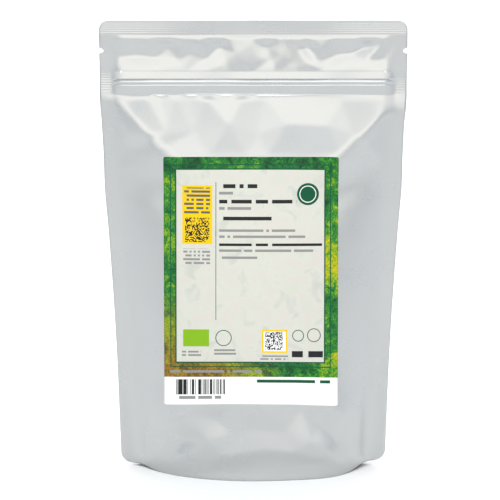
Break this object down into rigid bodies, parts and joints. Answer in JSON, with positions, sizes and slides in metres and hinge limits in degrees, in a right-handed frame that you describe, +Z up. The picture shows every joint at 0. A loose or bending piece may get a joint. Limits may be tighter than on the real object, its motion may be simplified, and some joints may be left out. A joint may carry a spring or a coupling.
{
  "type": "stand-up pouch",
  "caption": "Filled and heat-sealed foil stand-up pouch with side seals, tear notches, press-to-close zip, bottom gusset and a printed label on its back.",
  "frame": {"origin": "on the ground under the middle of the pouch", "axes": "+Z up the pouch, +X across its width, -Y out of the labelled back wall that the picture shows, +Y out of the front wall"},
  "size_m": [0.19, 0.0798, 0.282],
  "materials": {
    "foil_film": "matte silver laminate",
    "zip_plastic": "translucent white polyethylene",
    "label_stock": "printed, semi-matte",
    "cardamom_pods": "dry fibrous green pods"
  },
  "bodies": {
    "root": {"back_wall": "foil_film", "front_wall": "foil_film", "bottom_gusset": "foil_film", "zip_groove_profile": "zip_plastic", "zip_rib_profile": "zip_plastic", "back_label": "label_stock", "pod_load": "cardamom_pods"}
  },
  "joints": []
}
